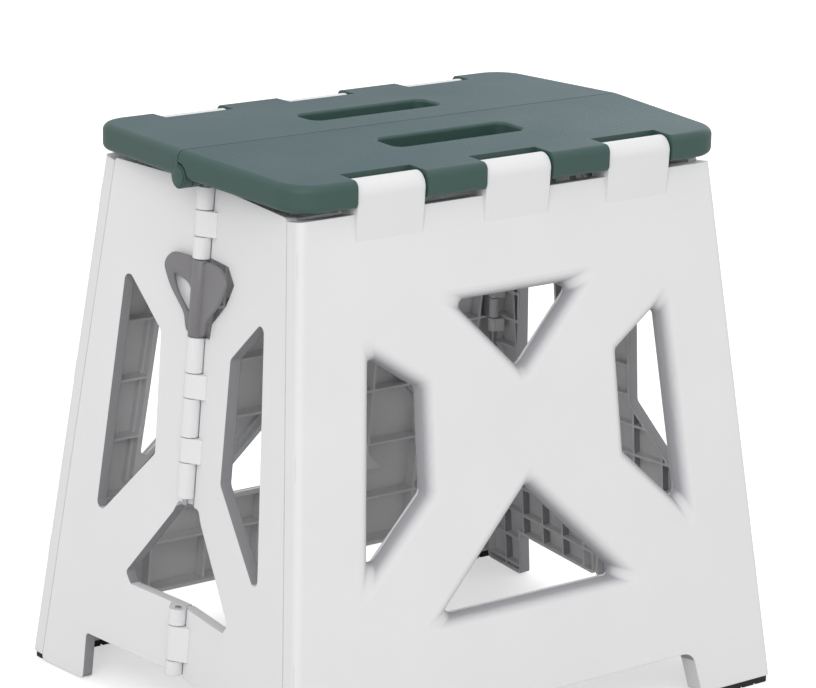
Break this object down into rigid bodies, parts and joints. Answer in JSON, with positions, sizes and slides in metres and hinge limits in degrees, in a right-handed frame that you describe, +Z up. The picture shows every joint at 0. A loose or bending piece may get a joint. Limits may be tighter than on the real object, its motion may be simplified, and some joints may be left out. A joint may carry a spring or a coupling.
{
  "type": "folding_stool",
  "caption": "Low folding step stool: two windowed leg panels joined by hinged end leaves, with a split seat that lifts at its seam and folds flat.",
  "frame": {"origin": "floor level under the middle of the stool", "axes": "X along the long side, Y from front to back, Z up"},
  "size_m": [0.4032, 0.3296, 0.393],
  "materials": {
    "body_plastic": "moulded satin white",
    "seat_plastic": "moulded grey green with fine anti-slip grain",
    "latch_plastic": "moulded mid grey",
    "pin_steel": "drawn wire",
    "pad_rubber": "moulded matt black"
  },
  "bodies": {
    "front_legs": {"front_leg_panel": "body_plastic", "front_seat_pin": "pin_steel", "front_left_corner_pin": "pin_steel", "front_right_corner_pin": "pin_steel", "front_left_foot_pad": "pad_rubber", "front_right_foot_pad": "pad_rubber"},
    "left_front_leaf": {"left_front_leaf": "body_plastic"},
    "left_rear_leaf": {"left_rear_leaf": "body_plastic", "left_upper_centre_pin": "pin_steel", "left_lower_centre_pin": "pin_steel"},
    "rear_legs": {"rear_leg_panel": "body_plastic", "rear_seat_pin": "pin_steel", "rear_left_corner_pin": "pin_steel", "rear_right_corner_pin": "pin_steel", "rear_left_foot_pad": "pad_rubber", "rear_right_foot_pad": "pad_rubber"},
    "right_rear_leaf": {"right_rear_leaf": "body_plastic", "right_upper_centre_pin": "pin_steel", "right_lower_centre_pin": "pin_steel"},
    "right_front_leaf": {"right_front_leaf": "body_plastic"},
    "front_seat": {"front_seat_half": "seat_plastic", "left_seat_centre_pin": "pin_steel", "right_seat_centre_pin": "pin_steel"},
    "rear_seat": {"rear_seat_half": "seat_plastic"},
    "latch": {"side_latch": "latch_plastic"}
  },
  "joints": [
    {"name": "left_front_corner", "type": "hinge", "parent": "front_legs", "child": "left_front_leaf", "pos_m": [-0.17005, -0.12134, 0.19898], "axis": [-0.0915, -0.131, -0.9872], "range_deg": [0, 80]},
    {"name": "left_centre", "type": "hinge", "parent": "left_front_leaf", "child": "left_rear_leaf", "pos_m": [-0.17433, 0, 0.2], "axis": [0.0785, 0, 0.9969], "range_deg": [0, 158.72]},
    {"name": "left_rear_corner", "type": "hinge", "parent": "left_rear_leaf", "child": "rear_legs", "pos_m": [-0.17005, 0.12134, 0.19898], "axis": [-0.0915, 0.131, -0.9872], "range_deg": [0, 80]},
    {"name": "right_rear_corner", "type": "hinge", "parent": "rear_legs", "child": "right_rear_leaf", "pos_m": [0.17005, 0.12134, 0.19898], "axis": [0.0915, 0.131, -0.9872], "range_deg": [0, 80]},
    {"name": "right_centre", "type": "hinge", "parent": "right_rear_leaf", "child": "right_front_leaf", "pos_m": [0.17433, 0, 0.2], "axis": [-0.0785, 0, 0.9969], "range_deg": [0, 158.72]},
    {"name": "front_seat_hinge", "type": "hinge", "parent": "front_legs", "child": "front_seat", "pos_m": [0, -0.112, 0.38], "axis": [1, 0, 0], "range_deg": [0, 65.2]},
    {"name": "rear_seat_hinge", "type": "hinge", "parent": "rear_legs", "child": "rear_seat", "pos_m": [0, 0.112, 0.38], "axis": [-1, 0, 0], "range_deg": [0, 65.2]},
    {"name": "side_latch_pivot", "type": "hinge", "parent": "left_rear_leaf", "child": "latch", "pos_m": [-0.16724, 0, 0.29], "axis": [-0.0785, 0, -0.9969], "range_deg": [0, 4]}
  ],
  "couplings": [
    {"joint": "left_centre", "follows": "left_front_corner", "ratio": 1.984},
    {"joint": "left_rear_corner", "follows": "left_front_corner", "ratio": 1},
    {"joint": "right_rear_corner", "follows": "left_front_corner", "ratio": 1},
    {"joint": "right_centre", "follows": "left_front_corner", "ratio": 1.984},
    {"joint": "front_seat_hinge", "follows": "left_front_corner", "ratio": 0.815},
    {"joint": "rear_seat_hinge", "follows": "left_front_corner", "ratio": 0.815}
  ]
}
